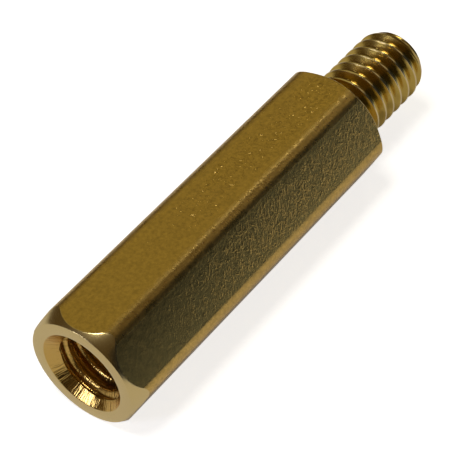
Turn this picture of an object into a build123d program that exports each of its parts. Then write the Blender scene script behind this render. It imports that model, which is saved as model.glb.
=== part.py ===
from build123d import *

# Hex standoff: one piece of hexagonal brass bar, turned to a round stud at one end and drilled and
# countersunk at the other, both to the sizes of one metric thread. Millimetres.
# It lies on a flat of the hexagon. The axis runs along +X, the origin is the centre of the open end's
# face, and +Z is the normal of the upper flat.

import os
from math import cos, radians, tan

# Hexagonal bar
across_flats = 5.9
corner_radius = 0.9
body_length = 20.0

# Turned chamfer round the open end: how far its face stops short of the flats, and the slope to the axis
open_face_inset = 0.08
open_chamfer_angle = 26.0

# Turned chamfer round the shoulder
shoulder_inset = 0.13
shoulder_chamfer_angle = 51.0

# Metric thread of the stud and of the hole
thread_diameter = 4.0
thread_pitch = 0.7
crest_allowance = 0.05

# Stud and its rounded tip
stud_length = 5.9
tip_length = 0.95
tip_drop = 0.57
tip_crown = 0.14

# Hole of the tap drill's size, with the drill's point past the tapped length
tapped_depth = 9.0
drill_run_past = 2.0
drill_point_angle = 118.0
countersink_width = 0.6
countersink_angle = 90.0

# Room by which a cutter passes the surface that it cuts
overrun = 0.5

flat_radius = across_flats / 2
corner_reach = flat_radius / cos(radians(30)) + overrun
open_face_radius = flat_radius - open_face_inset
shoulder_radius = flat_radius - shoulder_inset
stud_radius = thread_diameter / 2 - crest_allowance
stud_end = body_length + stud_length
hole_radius = (thread_diameter - thread_pitch) / 2
drilled_depth = tapped_depth + drill_run_past


def turned(*outline):
    """Solid of revolution about the axis, from (along, out) points."""
    points = [(along, 0, out) for along, out in outline]
    return revolve(make_face(Polyline(*points, close=True)), Axis.X)


def hexagonal_bar():
    """Drawn bar: a hexagon with rounded corners and a flat on top."""
    across = Plane(origin=(0, 0, 0), x_dir=(0, 1, 0), z_dir=(1, 0, 0))
    section = RegularPolygon(flat_radius, 6, major_radius=False)
    section = fillet(section.vertices(), corner_radius)
    return extrude(across * section, body_length)


def chamfer_envelope():
    """Turned outline of the two ends, which the bar's corners are cut back to."""
    open_run = (corner_reach - open_face_radius) / tan(radians(open_chamfer_angle))
    shoulder_run = (corner_reach - shoulder_radius) / tan(radians(shoulder_chamfer_angle))
    return turned(
        (0, 0),
        (0, open_face_radius),
        (open_run, corner_reach),
        (body_length - shoulder_run, corner_reach),
        (body_length, shoulder_radius),
        (body_length, 0),
    )


def stud():
    """Stud at the thread's crest radius, turned round at its tip."""
    root = body_length - overrun
    tip_start = (stud_end - tip_length, 0, stud_radius)
    tip_middle = (stud_end - tip_length / 2, 0, stud_radius - tip_drop / 2 + tip_crown)
    tip_end = (stud_end, 0, stud_radius - tip_drop)
    rounding = ThreePointArc(tip_start, tip_middle, tip_end)
    rest = Polyline(tip_end, (stud_end, 0, 0), (root, 0, 0), (root, 0, stud_radius), tip_start)
    return revolve(make_face([rounding, rest]), Axis.X)


def hole():
    """Drilled hole with its conical bottom and a countersunk mouth."""
    countersink_slope = tan(radians(countersink_angle / 2))
    drill_point_slope = tan(radians(drill_point_angle / 2))
    mouth_radius = hole_radius + countersink_width
    return turned(
        (-overrun, 0),
        (-overrun, mouth_radius + overrun * countersink_slope),
        (countersink_width / countersink_slope, hole_radius),
        (drilled_depth, hole_radius),
        (drilled_depth + hole_radius / drill_point_slope, 0),
    )


standoff = (hexagonal_bar() & chamfer_envelope()) + stud() - hole()

os.makedirs("parts", exist_ok=True)
export_step(standoff, "parts/hex_standoff.step")
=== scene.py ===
from math import atan2, ceil, cos, hypot, pi, radians, sin, sqrt, tan

import bmesh
import bpy
from mathutils import Matrix, Vector


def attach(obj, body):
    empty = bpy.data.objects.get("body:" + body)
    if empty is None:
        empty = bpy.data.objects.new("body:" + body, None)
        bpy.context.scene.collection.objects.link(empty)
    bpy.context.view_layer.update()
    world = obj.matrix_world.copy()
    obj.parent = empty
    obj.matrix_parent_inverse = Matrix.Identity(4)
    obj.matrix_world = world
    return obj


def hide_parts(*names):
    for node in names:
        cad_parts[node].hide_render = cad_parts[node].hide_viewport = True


# The standoff is drawn in millimetres, with its axis along +X, and scaled to metres at the end.
# Finishes, lamps and the stage are in metres.
MILLIMETRE = 0.001

# Points nearer to each other than this are one point
TOGETHER = 1e-3

# A threaded tube has no row of points nearer to its start than this
START_ROOM = 0.045

# Hexagonal bar, the faces turned on its two ends and the chamfer round the shoulder
FLAT_RADIUS = 2.95
CORNER_RADIUS = 0.9
BODY_LENGTH = 20.0
OPEN_FACE_RADIUS = 2.87
SHOULDER_RADIUS = 2.82
SHOULDER_CHAMFER_ANGLE = radians(51)

# The open end's chamfer is turned a little round: steep at the face, shallow where it meets the flats
CHAMFER_START_SLOPE = tan(radians(33))
CHAMFER_BEND = 0.198

# Metric thread. The height is that of its sharp triangle, of which the standard cuts shares away.
THREAD_RADIUS = 2.0
PITCH = 0.7
FLANK_ANGLE = radians(30)
THREAD_HEIGHT = PITCH / (2 * tan(FLANK_ANGLE))
PITCH_RADIUS = THREAD_RADIUS - THREAD_HEIGHT * 3 / 8

# Stud, with the place of a crest at the start of a turn, and its rounded tip
STUD_RADIUS = 1.95
STUD_ROOT_RADIUS = THREAD_RADIUS - THREAD_HEIGHT * 17 / 24
STUD_END = 25.9
STUD_CREST_AT = 20.22
TIP_LENGTH = 0.95
TIP_RADIUS = 1.38
TIP_FULLNESS = 0.8

# Hole, with the place of a land at the start of a turn, its drilled bottom and its countersunk mouth
HOLE_RADIUS = 1.65
HOLE_ROOT_RADIUS = 1.98
HOLE_LAND_AT = 1.1
TAPPED_DEPTH = 9.0
DRILLED_DEPTH = 11.0
DRILL_HALF_ANGLE = radians(59)
MOUTH_RADIUS = 2.25

# Depth over which a thread's edges are rounded: the stud's crests and roots, the hole's lands and roots
CREST_ROUNDING = 0.02
STUD_ROOT_ROUNDING = 0.1
LAND_ROUNDING = 0.15
HOLE_ROOT_ROUNDING = 0.03

# Widths of the broken edges: round the turned rims, and along the chamfers' crescents on the flats
RIM_BREAK = 0.015
CRESCENT_BREAK = 0.07

# How far a face's normal leans along the axis: at most on a flat or another drawn face, at least on a chamfer
FLAT_LEAN = 0.01
DRAWN_LEAN = 0.05
CHAMFER_LEAN = 0.2

# Edges that turn by more than this stay sharp
SHARP_ANGLE = radians(28)

# Columns of points round the axis and in half a rounded corner, and rows along a chamfer and in one pitch
COLUMNS = 144
SIDE_COLUMNS = COLUMNS // 6
CORNER_COLUMNS = 7
CHAMFER_ROWS = 6
STUD_ROWS = 24
HOLE_ROWS = 18

# Metres along the axis between which the marks of handling grow to their full strength
MARKS_GROW = (0.001, 0.012)

# Metres out from the axis between which scuffs fade, a rubbed corner begins and a thread's crest begins,
# where the crests' painted highlight starts
SCUFFS_FADE = (0.00303, 0.00316)
CORNER_BEGINS = (0.00317, 0.00321)
CREST_BEGINS = (0.00191, 0.001945)

# Metres along the axis between which a card brightens, and metres up between which it dims
CARD_BRIGHTENS = (0, 0.05)
CARD_DIMS = (0.001, 0.006)

# Base colours of the finishes
DRAWN_COLOUR = (0.60, 0.405, 0.12)
TURNED_COLOUR = (0.73, 0.57, 0.26)
THREAD_COLOUR = (0.58, 0.41, 0.10)
# Pale colour of the stud's crests: partly rubbed brass, partly a painted highlight along the crests
CREST_WEAR_AND_HIGHLIGHT_COLOUR = (0.76, 0.62, 0.34)
BORE_COLOUR = (0.66, 0.43, 0.12)

# How much the floor glows where the camera sees it, and where the metal shows it
FLOOR_GLOW = 0.78
FLOOR_SHOWN = 0.15

# The floor reaches this far to each side of its middle, which lies under the flat that the part rests on
FLOOR_REACH = 0.6
FLOOR_MIDDLE = (0.013, 0, -FLAT_RADIUS * MILLIMETRE)

# Point that the lamps face, and how far from it they hang, in metres
LAMPS_FACE = Vector((0.0115, 0, 0))
LAMP_DISTANCE = 0.30


def out_from_axis(point):
    return hypot(point.y, point.z)


def bar_outline(column):
    """Point of the drawn bar's section. Its columns gather in the rounded corners."""
    corner = round(column / SIDE_COLUMNS)
    step = column - corner * SIDE_COLUMNS
    turn = radians(30) * min(abs(step), CORNER_COLUMNS) / CORNER_COLUMNS
    centre = (FLAT_RADIUS - CORNER_RADIUS) / cos(radians(30))
    point = Vector((centre + CORNER_RADIUS * cos(turn), CORNER_RADIUS * sin(turn)))
    if abs(step) > CORNER_COLUMNS:
        middle = Vector((cos(radians(30)), sin(radians(30)))) * FLAT_RADIUS
        share = (abs(step) - CORNER_COLUMNS) / (SIDE_COLUMNS / 2 - CORNER_COLUMNS)
        point = point.lerp(middle, share)
    if step < 0:
        point.y = -point.y
    point.rotate(Matrix.Rotation(radians(60) * corner, 2))
    return point


def chamfer_reach(radius):
    """How far along the axis the open end's chamfer comes out at a radius."""
    rise = radius - OPEN_FACE_RADIUS
    end_slope = sqrt(CHAMFER_START_SLOPE**2 - 4 * CHAMFER_BEND * rise)
    return (CHAMFER_START_SLOPE - end_slope) / (2 * CHAMFER_BEND)


def shell_place(row, column):
    """Where a point of the turned blank lies on the finished outside of the body."""
    outline = bar_outline(column)
    out = outline.length
    if row <= CHAMFER_ROWS:
        along = chamfer_reach(out) * row / CHAMFER_ROWS
        radius = OPEN_FACE_RADIUS + CHAMFER_START_SLOPE * along - CHAMFER_BEND * along**2
    elif row == CHAMFER_ROWS + 1:
        along = BODY_LENGTH - (out - SHOULDER_RADIUS) / tan(SHOULDER_CHAMFER_ANGLE)
        radius = out
    else:
        along = BODY_LENGTH
        radius = SHOULDER_RADIUS
    outline = outline.normalized() * radius
    return Vector((along, outline.x, outline.y))


def spun(bm, alongs, advance=0.0):
    """Spins points at the given places along the axis into a tube of radius 1, and returns its points."""
    before = set(bm.verts)
    line = [bm.verts.new((along, 1, 0)) for along in alongs]
    edges = [bm.edges.new(pair) for pair in zip(line, line[1:])]
    bmesh.ops.spin(
        bm,
        geom=line + edges,
        cent=(0, 0, 0),
        axis=(1, 0, 0),
        dvec=(advance / COLUMNS, 0, 0),
        angle=2 * pi,
        steps=COLUMNS,
        use_merge=advance == 0,
        use_duplicate=False,
    )
    return [v for v in bm.verts if v not in before]


def column_of(point):
    return round(atan2(point.z, point.y) / (2 * pi) * COLUMNS) % COLUMNS


def body_shell(bm):
    """Chamfered hexagonal outside, from the open end's face to the shoulder."""
    for v in spun(bm, range(CHAMFER_ROWS + 3)):
        v.co = shell_place(round(v.co.x), column_of(v.co))


def eased(value, room):
    """A value kept at 0 or above, its corner at 0 rounded over the given room to both sides."""
    return value if value > room else max(0.0, value + room) ** 2 / (4 * room)


def groove_depth(offset, half_ridge, whole, ridge_room, root_room):
    """Depth of a thread's groove at an offset along the axis from the middle of the ridge."""
    offset = abs((offset / PITCH + 0.5) % 1 - 0.5) * PITCH
    depth = eased((offset - half_ridge) / tan(FLANK_ANGLE), ridge_room)
    return whole - eased(whole - depth, root_room)


def stud_radius(along, turned):
    """Radius of the threaded stud: its crests, flanks and roots, rounded off at the tip."""
    half_crest = PITCH / 4 - (THREAD_RADIUS - PITCH_RADIUS) * tan(FLANK_ANGLE)
    whole = STUD_RADIUS - STUD_ROOT_RADIUS
    offset = along - turned - STUD_CREST_AT
    radius = STUD_RADIUS - groove_depth(offset, half_crest, whole, CREST_ROUNDING, STUD_ROOT_ROUNDING)
    into_tip = (along - STUD_END + TIP_LENGTH) / TIP_LENGTH
    if into_tip <= 0:
        return radius
    round_share = sqrt(max(0.0, 1 - into_tip**2))
    left = TIP_FULLNESS * round_share + (1 - TIP_FULLNESS) * (1 - into_tip)
    return min(radius, TIP_RADIUS + (STUD_RADIUS - TIP_RADIUS) * left)


def hole_radius(along, turned):
    """Radius of the tapped hole: its lands and grooves, cut away by the countersink at the mouth."""
    half_land = PITCH / 4 - (PITCH_RADIUS - HOLE_RADIUS) * tan(FLANK_ANGLE)
    whole = HOLE_ROOT_RADIUS - HOLE_RADIUS
    fade = min(1.0, (TAPPED_DEPTH - along) / PITCH)
    offset = along - turned - HOLE_LAND_AT
    depth = groove_depth(offset, half_land, whole, LAND_ROUNDING, HOLE_ROOT_ROUNDING)
    return max(HOLE_RADIUS + depth * fade, MOUTH_RADIUS - along)


def threaded_tube(bm, start, end, radius_at, pitch_rows):
    """Tube whose rows follow the helix of a right-hand thread, cut square at both ends."""
    rows = ceil((end - start) / PITCH * pitch_rows) + pitch_rows
    step = PITCH / pitch_rows
    points = spun(bm, [start - PITCH + row * step for row in range(rows + 1)], advance=PITCH)
    for v in points:
        angle = atan2(v.co.z, v.co.y) % (2 * pi)
        along = start if v.co.x < start + START_ROOM else min(v.co.x, end)
        radius = radius_at(along, PITCH * angle / (2 * pi))
        v.co = Vector((along, radius * cos(angle), radius * sin(angle)))


def open_edges(bm, along):
    return [e for e in bm.edges if e.is_boundary and all(abs(v.co.x - along) < TOGETHER for v in e.verts)]


def hole_bottom(bm):
    """Plain drilled wall past the thread, closed by the drill's cone."""
    for far, share in ((DRILLED_DEPTH, 1), (DRILLED_DEPTH + HOLE_RADIUS / tan(DRILL_HALF_ANGLE), 0)):
        rim = open_edges(bm, max(v.co.x for e in bm.edges if e.is_boundary for v in e.verts))
        made = bmesh.ops.extrude_edge_only(bm, edges=rim)["geom"]
        for v in (g for g in made if isinstance(g, bmesh.types.BMVert)):
            v.co = Vector((far, v.co.y * share, v.co.z * share))
    bmesh.ops.remove_doubles(bm, verts=bm.verts, dist=TOGETHER)


def on_ring(edge, along, radius):
    misses = [max(abs(v.co.x - along), abs(out_from_axis(v.co) - radius)) for v in edge.verts]
    return max(misses) < TOGETHER


def soften_edges(bm):
    """Breaks the turned edges as a deburred part's are."""
    rims = [e for e in bm.edges if on_ring(e, 0, OPEN_FACE_RADIUS)]
    rims += [e for e in bm.edges if on_ring(e, 0, MOUTH_RADIUS)]
    rims += [e for e in bm.edges if on_ring(e, BODY_LENGTH, SHOULDER_RADIUS)]
    crescents = []
    for e in bm.edges:
        if len(e.link_faces) == 2:
            leans = [abs(f.normal.x) for f in e.link_faces]
            outside = min(out_from_axis(v.co) for v in e.verts) > SHOULDER_RADIUS + 10 * TOGETHER
            if outside and min(leans) < FLAT_LEAN and max(leans) > CHAMFER_LEAN:
                crescents.append(e)
    for edges, width in ((rims, RIM_BREAK), (crescents, CRESCENT_BREAK)):
        bmesh.ops.bevel(
            bm,
            geom=edges,
            offset=width,
            segments=2,
            profile=0.5,
            affect="EDGES",
            material=-1,
            clamp_overlap=True,
        )
    bmesh.ops.remove_doubles(bm, verts=bm.verts, dist=TOGETHER)


# Order of the finishes among the standoff's materials
DRAWN, TURNED, THREADED, BORED = 0, 1, 2, 3


def finish_of(face):
    """Which of the four finishes a face has. The mouth's edge has that of the open end's face."""
    centre = face.calc_center_median()
    if centre.x > BODY_LENGTH + TOGETHER:
        return THREADED
    if out_from_axis(centre) < MOUTH_RADIUS - 20 * TOGETHER and centre.x > TOGETHER:
        return BORED
    if abs(face.normal.x) < DRAWN_LEAN:
        return DRAWN
    return TURNED


def standoff_mesh():
    bm = bmesh.new()
    threaded_tube(bm, 0, TAPPED_DEPTH, hole_radius, HOLE_ROWS)
    bmesh.ops.remove_doubles(bm, verts=bm.verts, dist=TOGETHER)
    hole_bottom(bm)
    bmesh.ops.reverse_faces(bm, faces=bm.faces)
    threaded_tube(bm, BODY_LENGTH, STUD_END, stud_radius, STUD_ROWS)
    bmesh.ops.remove_doubles(bm, verts=bm.verts, dist=TOGETHER)
    body_shell(bm)
    bmesh.ops.bridge_loops(bm, edges=open_edges(bm, 0))
    bmesh.ops.bridge_loops(bm, edges=open_edges(bm, BODY_LENGTH))
    bmesh.ops.holes_fill(bm, edges=open_edges(bm, STUD_END), sides=0)
    bmesh.ops.dissolve_degenerate(bm, dist=1e-5, edges=bm.edges)
    bmesh.ops.recalc_face_normals(bm, faces=bm.faces)
    soften_edges(bm)
    for face in bm.faces:
        face.smooth = True
        face.material_index = finish_of(face)
    bmesh.ops.scale(bm, vec=(MILLIMETRE, MILLIMETRE, MILLIMETRE), verts=bm.verts)
    mesh = bpy.data.meshes.new("standoff")
    bm.to_mesh(mesh)
    bm.free()
    mesh.set_sharp_from_angle(angle=SHARP_ANGLE)
    return mesh


def effect(name, inputs, outputs):
    """Shader node group of one shared effect, with its named values."""
    group = bpy.data.node_groups.new(name, "ShaderNodeTree")
    for label, kind, value in inputs:
        socket = group.interface.new_socket(name=label, in_out="INPUT", socket_type=kind)
        if value is not None:
            socket.default_value = value
    for label in outputs:
        group.interface.new_socket(name=label, in_out="OUTPUT", socket_type="NodeSocketFloat")
    return group, group.nodes.new("NodeGroupInput"), group.nodes.new("NodeGroupOutput")


def sums(tree, operation, *values):
    """Math node of the given values, each a number or another node's output."""
    node = tree.nodes.new("ShaderNodeMath")
    node.operation = operation
    for socket, value in zip(node.inputs, values):
        if isinstance(value, (int, float)):
            socket.default_value = value
        else:
            tree.links.new(value, socket)
    return node.outputs[0]


def between(tree, value, low, high, new_low, new_high):
    """Smooth step of a value from one range to another."""
    node = tree.nodes.new("ShaderNodeMapRange")
    node.interpolation_type = "SMOOTHSTEP"
    for label, number in (("From Min", low), ("From Max", high), ("To Min", new_low), ("To Max", new_high)):
        socket = node.inputs[label]
        if isinstance(number, (int, float)):
            socket.default_value = number
        else:
            tree.links.new(number, socket)
    tree.links.new(value, node.inputs["Value"])
    return node.outputs["Result"]


def noise(tree, place, scale, detail, roughness=0.5, distortion=0.0):
    node = tree.nodes.new("ShaderNodeTexNoise")
    node.inputs["Scale"].default_value = scale
    node.inputs["Detail"].default_value = detail
    node.inputs["Roughness"].default_value = roughness
    node.inputs["Distortion"].default_value = distortion
    tree.links.new(place, node.inputs["Vector"])
    return node.outputs["Fac"]


def unrolled(tree, place):
    """Place unrolled along the axis, round it and out from it, then its first and its last part alone."""
    parts = tree.nodes.new("ShaderNodeSeparateXYZ")
    tree.links.new(place, parts.inputs[0])
    x, y, z = parts.outputs
    out = sums(tree, "SQRT", sums(tree, "ADD", sums(tree, "MULTIPLY", y, y), sums(tree, "MULTIPLY", z, z)))
    turn = sums(tree, "MULTIPLY", sums(tree, "ARCTAN2", y, z), FLAT_RADIUS * MILLIMETRE)
    joined = tree.nodes.new("ShaderNodeCombineXYZ")
    for value, socket in zip((x, turn, out), joined.inputs):
        tree.links.new(value, socket)
    return joined.outputs[0], x, out


def strokes(tree, place, heading, scale, stretch):
    """Short ridges that run along a heading of the unrolled surface."""
    turned = tree.nodes.new("ShaderNodeVectorRotate")
    turned.rotation_type = "Z_AXIS"
    turned.inputs["Angle"].default_value = radians(heading)
    tree.links.new(place, turned.inputs["Vector"])
    drawn_out = tree.nodes.new("ShaderNodeVectorMath")
    drawn_out.operation = "MULTIPLY"
    drawn_out.inputs[1].default_value = (1, 1 / stretch, 1)
    tree.links.new(turned.outputs[0], drawn_out.inputs[0])
    field = noise(tree, drawn_out.outputs[0], scale, 2, 0.6, 0.6)
    return between(tree, field, 0.52, 0.72, 0, 1)


def handling_marks():
    """Scuffs and grain of a drawn bar, stronger towards the stud, with its mottling and rubbed corners."""
    group, given, result = effect(
        "handling marks",
        (
            ("Place", "NodeSocketVector", None),
            ("Near End", "NodeSocketFloat", 0.12),
            ("Far End", "NodeSocketFloat", 1.0),
        ),
        ("Scuffs", "Grain", "Mottling", "Corner"),
    )
    place, along, out = unrolled(group, given.outputs["Place"])
    first = strokes(group, place, 38, 9000, 3.5)
    second = strokes(group, place, -30, 8000, 3.0)
    crowd = between(group, along, *MARKS_GROW, given.outputs["Near End"], given.outputs["Far End"])
    both = sums(group, "MULTIPLY", sums(group, "MAXIMUM", first, second), crowd)
    inland = between(group, out, *SCUFFS_FADE, 1, 0.3)
    group.links.new(sums(group, "MULTIPLY", both, inland), result.inputs["Scuffs"])
    grain = sums(group, "MULTIPLY", noise(group, place, 8500, 3, 0.6), sums(group, "ADD", crowd, 0.25))
    group.links.new(grain, result.inputs["Grain"])
    group.links.new(noise(group, place, 2600, 4, 0.6), result.inputs["Mottling"])
    group.links.new(between(group, out, *CORNER_BEGINS, 0, 1), result.inputs["Corner"])
    return group


def tool_lines():
    """Fine rings that a lathe leaves, round the axis on every turned face."""
    group, given, result = effect("tool lines", (("Place", "NodeSocketVector", None),), ("Rings",))
    along, out = unrolled(group, given.outputs["Place"])[1:]
    rings = group.nodes.new("ShaderNodeCombineXYZ")
    group.links.new(along, rings.inputs[0])
    group.links.new(out, rings.inputs[1])
    group.links.new(noise(group, rings.outputs[0], 9000, 2), result.inputs["Rings"])
    return group


def chatter_marks():
    """Short marks of a cutter in the hole, which run along the axis."""
    group, given, result = effect("chatter marks", (("Place", "NodeSocketVector", None),), ("Ridges",))
    place = unrolled(group, given.outputs["Place"])[0]
    shrunk = group.nodes.new("ShaderNodeVectorMath")
    shrunk.operation = "MULTIPLY"
    shrunk.inputs[1].default_value = (0.12, 1, 0.12)
    group.links.new(place, shrunk.inputs[0])
    group.links.new(noise(group, shrunk.outputs[0], 5200, 2, 0.6), result.inputs["Ridges"])
    return group


def new_material(name):
    material = bpy.data.materials.new(name)
    material.use_nodes = True
    return material, material.node_tree


def place_on_part(tree):
    return tree.nodes.new("ShaderNodeTexCoord").outputs["Object"]


def use_effect(tree, group):
    node = tree.nodes.new("ShaderNodeGroup")
    node.node_tree = group
    tree.links.new(place_on_part(tree), node.inputs["Place"])
    return node


def relief(tree, height, depth, before=None):
    """Bump of the given depth in metres."""
    node = tree.nodes.new("ShaderNodeBump")
    node.inputs["Distance"].default_value = depth
    tree.links.new(height, node.inputs["Height"])
    if before:
        tree.links.new(before, node.inputs["Normal"])
    return node.outputs["Normal"]


def brass(name, colour, roughness):
    material, tree = new_material(name)
    shader = tree.nodes["Principled BSDF"]
    shader.inputs["Base Color"].default_value = (*colour, 1)
    shader.inputs["Metallic"].default_value = 1
    shader.inputs["Roughness"].default_value = roughness
    return material, tree, shader


def tinted(tree, share, first, second):
    """Colour that goes from the first to the second as the share goes from 0 to 1."""
    node = tree.nodes.new("ShaderNodeMix")
    node.data_type = "RGBA"
    # Sockets by number, since a Mix node has several of one name
    tree.links.new(share, node.inputs[0])
    node.inputs[6].default_value = (*first, 1)
    node.inputs[7].default_value = (*second, 1)
    return node.outputs[2]


def drawn_brass(marks):
    """Drawn faces: a little mottled, grained and scuffed, and duller on the rubbed corners."""
    material, tree, shader = brass("drawn brass", DRAWN_COLOUR, 0.16)
    worn = use_effect(tree, marks)
    corner = worn.outputs["Corner"]
    raised = relief(tree, worn.outputs["Scuffs"], 7e-6)
    raised = relief(tree, worn.outputs["Grain"], 9e-6, raised)
    raised = relief(tree, worn.outputs["Mottling"], 1.8e-6, raised)
    nicks = sums(tree, "MULTIPLY", noise(tree, place_on_part(tree), 13000, 1), corner)
    tree.links.new(relief(tree, nicks, 4e-6, raised), shader.inputs["Normal"])
    rough = between(tree, worn.outputs["Mottling"], 0.35, 0.7, 0.12, 0.20)
    rough = sums(tree, "MULTIPLY_ADD", corner, 0.14, rough)
    tree.links.new(rough, shader.inputs["Roughness"])
    cloud = between(tree, noise(tree, place_on_part(tree), 5000, 6, 0.8), 0.25, 0.75, 0, 1)
    dull = [0.76 * part for part in DRAWN_COLOUR]
    bright = [1.24 * part for part in DRAWN_COLOUR]
    tree.links.new(tinted(tree, cloud, dull, bright), shader.inputs["Base Color"])
    return material


def turned_brass(rings):
    material, tree, shader = brass("turned brass", TURNED_COLOUR, 0.24)
    cut = use_effect(tree, rings)
    tree.links.new(relief(tree, cut.outputs["Rings"], 1.5e-6), shader.inputs["Normal"])
    return material


def threaded_brass(rings):
    """The stud's thread, painted pale along its crests: partly rubbed bright, partly a painted highlight."""
    material, tree, shader = brass("threaded brass", THREAD_COLOUR, 0.20)
    cut = use_effect(tree, rings)
    tree.links.new(relief(tree, cut.outputs["Rings"], 1.5e-6), shader.inputs["Normal"])
    out = unrolled(tree, place_on_part(tree))[2]
    # Painted highlight along the crests, partly rubbed bright: the base colour turns pale where the crest
    # begins
    crest = between(tree, out, *CREST_BEGINS, 0, 1)
    tree.links.new(tinted(tree, crest, THREAD_COLOUR, CREST_WEAR_AND_HIGHLIGHT_COLOUR), shader.inputs["Base Color"])
    return material


def bored_brass(chatter):
    material, tree, shader = brass("bored brass", BORE_COLOUR, 0.20)
    cut = use_effect(tree, chatter)
    tree.links.new(relief(tree, cut.outputs["Ridges"], 3.2e-5), shader.inputs["Normal"])
    return material


def floor_material():
    """Pale floor that keeps shadows. It glows up to white for the camera, and a little for the metal."""
    material, tree = new_material("pale floor")
    shader = tree.nodes["Principled BSDF"]
    shader.inputs["Base Color"].default_value = (0.85, 0.85, 0.85, 1)
    shader.inputs["Roughness"].default_value = 0.9
    shader.inputs["Specular IOR Level"].default_value = 0
    shader.inputs["Emission Color"].default_value = (1, 1, 1, 1)
    seen = tree.nodes.new("ShaderNodeLightPath").outputs
    shown = sums(tree, "MAXIMUM", seen["Is Glossy Ray"], seen["Is Transmission Ray"])
    shown = sums(tree, "MULTIPLY", shown, FLOOR_SHOWN)
    glow = sums(tree, "MULTIPLY_ADD", seen["Is Camera Ray"], FLOOR_GLOW, shown)
    tree.links.new(glow, shader.inputs["Emission Strength"])
    return material


def stage_floor():
    bm = bmesh.new()
    bmesh.ops.create_grid(bm, x_segments=1, y_segments=1, size=FLOOR_REACH)
    bmesh.ops.translate(bm, verts=bm.verts, vec=FLOOR_MIDDLE)
    mesh = bpy.data.meshes.new("floor")
    bm.to_mesh(mesh)
    bm.free()
    mesh.materials.append(floor_material())
    floor = bpy.data.objects.new("floor", mesh)
    bpy.context.scene.collection.objects.link(floor)


def dim_card(name, centre, width, height, heading, near_glow, far_glow):
    """Dim card beside the part, which only the metal shows, brighter at its foot and towards the stud."""
    bm = bmesh.new()
    bmesh.ops.create_grid(bm, x_segments=1, y_segments=1, size=0.5)
    bmesh.ops.scale(bm, vec=(width, height, 1), verts=bm.verts)
    bmesh.ops.rotate(bm, verts=bm.verts, matrix=Matrix.Rotation(radians(90), 3, "X"))
    bmesh.ops.rotate(bm, verts=bm.verts, matrix=Matrix.Rotation(radians(heading), 3, "Z"))
    bmesh.ops.translate(bm, verts=bm.verts, vec=(*centre, height / 2 - FLAT_RADIUS * MILLIMETRE))
    mesh = bpy.data.meshes.new(name)
    bm.to_mesh(mesh)
    bm.free()
    material, tree = new_material(name)
    shader = tree.nodes["Principled BSDF"]
    shader.inputs["Base Color"].default_value = (0.02, 0.02, 0.02, 1)
    shader.inputs["Specular IOR Level"].default_value = 0
    shader.inputs["Emission Color"].default_value = (0.76, 0.92, 1.2, 1)
    parts = tree.nodes.new("ShaderNodeSeparateXYZ")
    tree.links.new(place_on_part(tree), parts.inputs[0])
    glow = between(tree, parts.outputs[0], *CARD_BRIGHTENS, near_glow, far_glow)
    lower = between(tree, parts.outputs[2], *CARD_DIMS, 2.4, 0.2)
    tree.links.new(sums(tree, "MULTIPLY", glow, lower), shader.inputs["Emission Strength"])
    mesh.materials.append(material)
    card = bpy.data.objects.new(name.replace(" ", "_"), mesh)
    card.visible_camera = False
    card.visible_diffuse = False
    card.visible_shadow = False
    bpy.context.scene.collection.objects.link(card)


def soft_light(name, direction, size, radiance, colour):
    """Square lamp that faces the part, with the brightness that its face shows."""
    lamp = bpy.data.lights.new(name, "AREA")
    lamp.shape = "SQUARE"
    lamp.size = size
    lamp.energy = radiance * pi * size * size
    lamp.color = colour
    light = bpy.data.objects.new(name, lamp)
    direction = Vector(direction).normalized()
    light.location = LAMPS_FACE + direction * LAMP_DISTANCE
    light.rotation_euler = direction.to_track_quat("Z", "Y").to_euler()
    bpy.context.scene.collection.objects.link(light)


def world_light(colour, strength):
    world = bpy.data.worlds.new("studio")
    world.use_nodes = True
    background = world.node_tree.nodes["Background"]
    background.inputs["Color"].default_value = (*colour, 1)
    background.inputs["Strength"].default_value = strength
    bpy.context.scene.world = world


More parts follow.
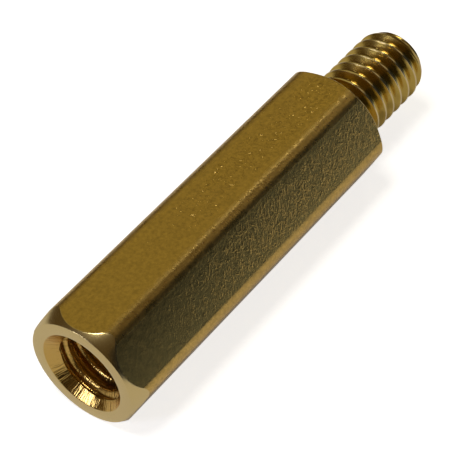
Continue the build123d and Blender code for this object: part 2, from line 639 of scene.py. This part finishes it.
def place_camera():
    """Camera at the photograph's viewing angle."""
    right = Vector((0.59604877, -0.79906988, -0.07882376))
    up = Vector((0.60105062, 0.37892747, 0.70367047))
    back = Vector((-0.53241339, -0.46679899, 0.7061407))
    lens = bpy.data.cameras.new("camera")
    lens.lens = 146.18
    lens.sensor_width = 36
    lens.clip_start = 0.005
    camera = bpy.data.objects.new("camera", lens)
    turn = Matrix((right, up, back)).transposed().to_4x4()
    camera.matrix_world = Matrix.Translation((-0.03693, -0.042195, 0.063486)) @ turn
    bpy.context.scene.collection.objects.link(camera)
    bpy.context.scene.camera = camera


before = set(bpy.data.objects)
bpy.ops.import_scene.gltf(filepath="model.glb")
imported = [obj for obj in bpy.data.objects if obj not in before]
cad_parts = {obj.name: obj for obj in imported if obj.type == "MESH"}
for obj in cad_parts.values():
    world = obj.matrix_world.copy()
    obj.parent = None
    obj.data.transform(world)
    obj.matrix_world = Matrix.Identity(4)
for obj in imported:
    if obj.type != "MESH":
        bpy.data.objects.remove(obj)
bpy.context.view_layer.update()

standoff = bpy.data.objects.new("standoff_metal", standoff_mesh())
rings = tool_lines()
standoff.data.materials.append(drawn_brass(handling_marks()))
standoff.data.materials.append(turned_brass(rings))
standoff.data.materials.append(threaded_brass(rings))
standoff.data.materials.append(bored_brass(chatter_marks()))
bpy.context.scene.collection.objects.link(standoff)
normals = standoff.modifiers.new("even shading", "WEIGHTED_NORMAL")
normals.keep_sharp = True
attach(standoff, "root")
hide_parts("hex_standoff")

stage_floor()
world_light((1.0, 0.67, 0.27), 0.08)
dim_card("front card", (0.035, -0.036), 0.13, 0.043, 0, 0.03, 0.12)
dim_card("side card", (-0.07, -0.06), 0.09, 0.026, 90, 0, 0)
soft_light("warm panel", (0.54, 0.48, 0.69), 0.26, 0.26, (1.0, 0.91, 0.41))
soft_light("back lamp", (0.60, 0.04, 0.80), 0.022, 7, (1, 1, 1))
soft_light("side lamp", (-0.80, 0.35, 0.46), 0.07, 8, (0.95, 1, 1.3))
soft_light("top lamp", (-0.19, 0.05, 0.98), 0.08, 13, (1, 0.97, 0.9))
soft_light("low fill", (0.72, -0.36, 0.59), 0.14, 0.30, (1.0, 0.93, 0.75))
place_camera()

bpy.context.scene.view_settings.view_transform = "Standard"
